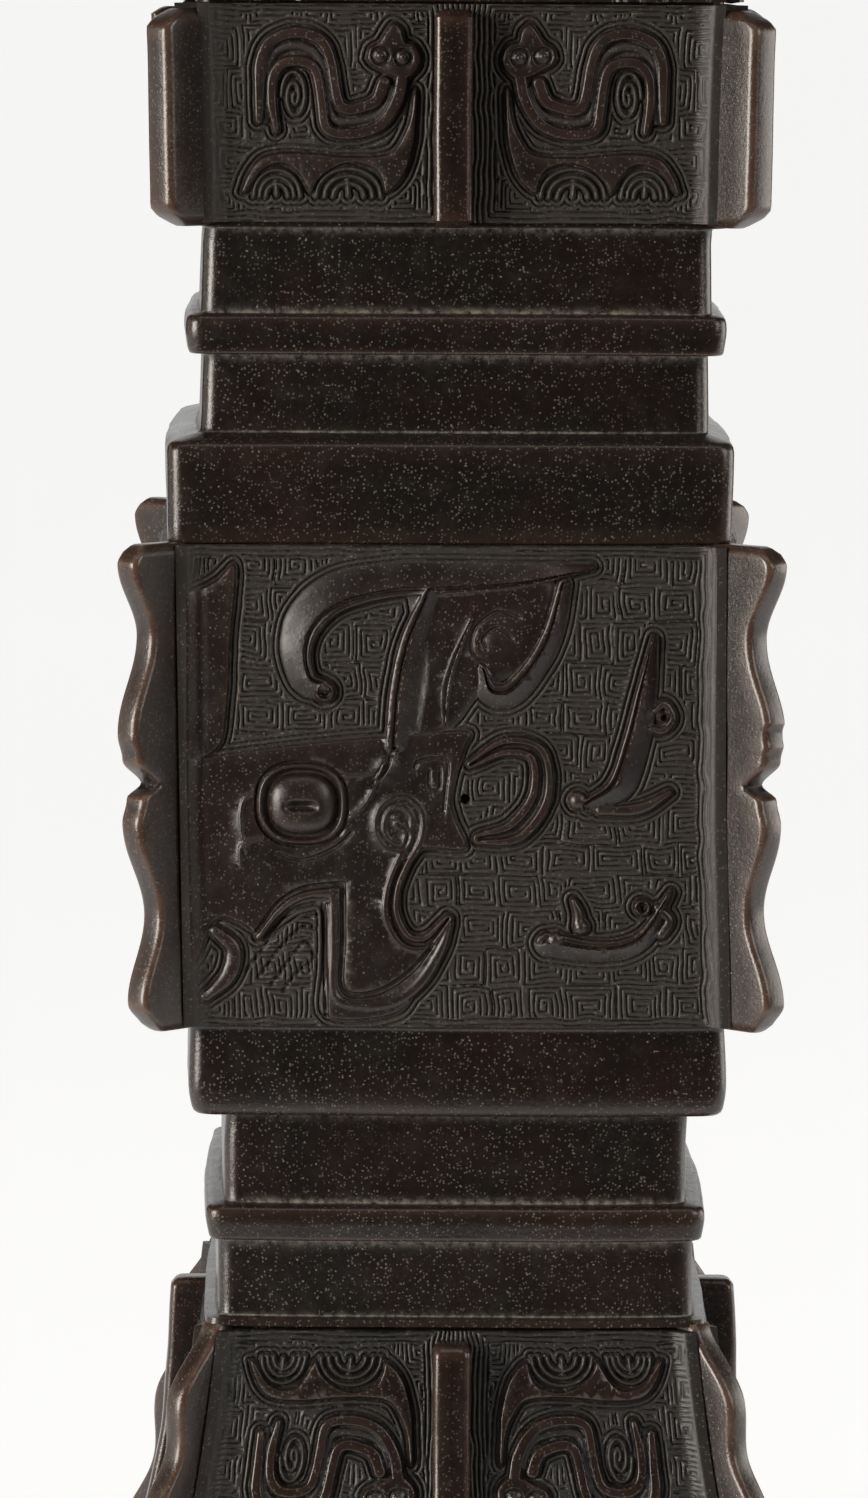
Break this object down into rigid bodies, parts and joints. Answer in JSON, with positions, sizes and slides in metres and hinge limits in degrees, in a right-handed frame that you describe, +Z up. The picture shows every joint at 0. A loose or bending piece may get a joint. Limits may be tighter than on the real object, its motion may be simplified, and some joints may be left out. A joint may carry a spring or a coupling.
{
  "type": "gu vase",
  "caption": "Tall square bronze beaker vase with a trumpet mouth, flanged corners, banded necks, carved mask and dragon relief and a flaring hollow foot.",
  "frame": {"origin": "centre of the standing edge, on the plane the vase stands on", "axes": "+Z up along the axis of the vase, -Y out of the front face, X and Y square to the faces"},
  "size_m": [0.1554, 0.1554, 0.2999],
  "materials": {
    "patinated_bronze": "dark brown patina, worn glossy on the edges, with grey dust in the recesses"
  },
  "bodies": {
    "root": {"gu_vase": "patinated_bronze"}
  },
  "joints": []
}
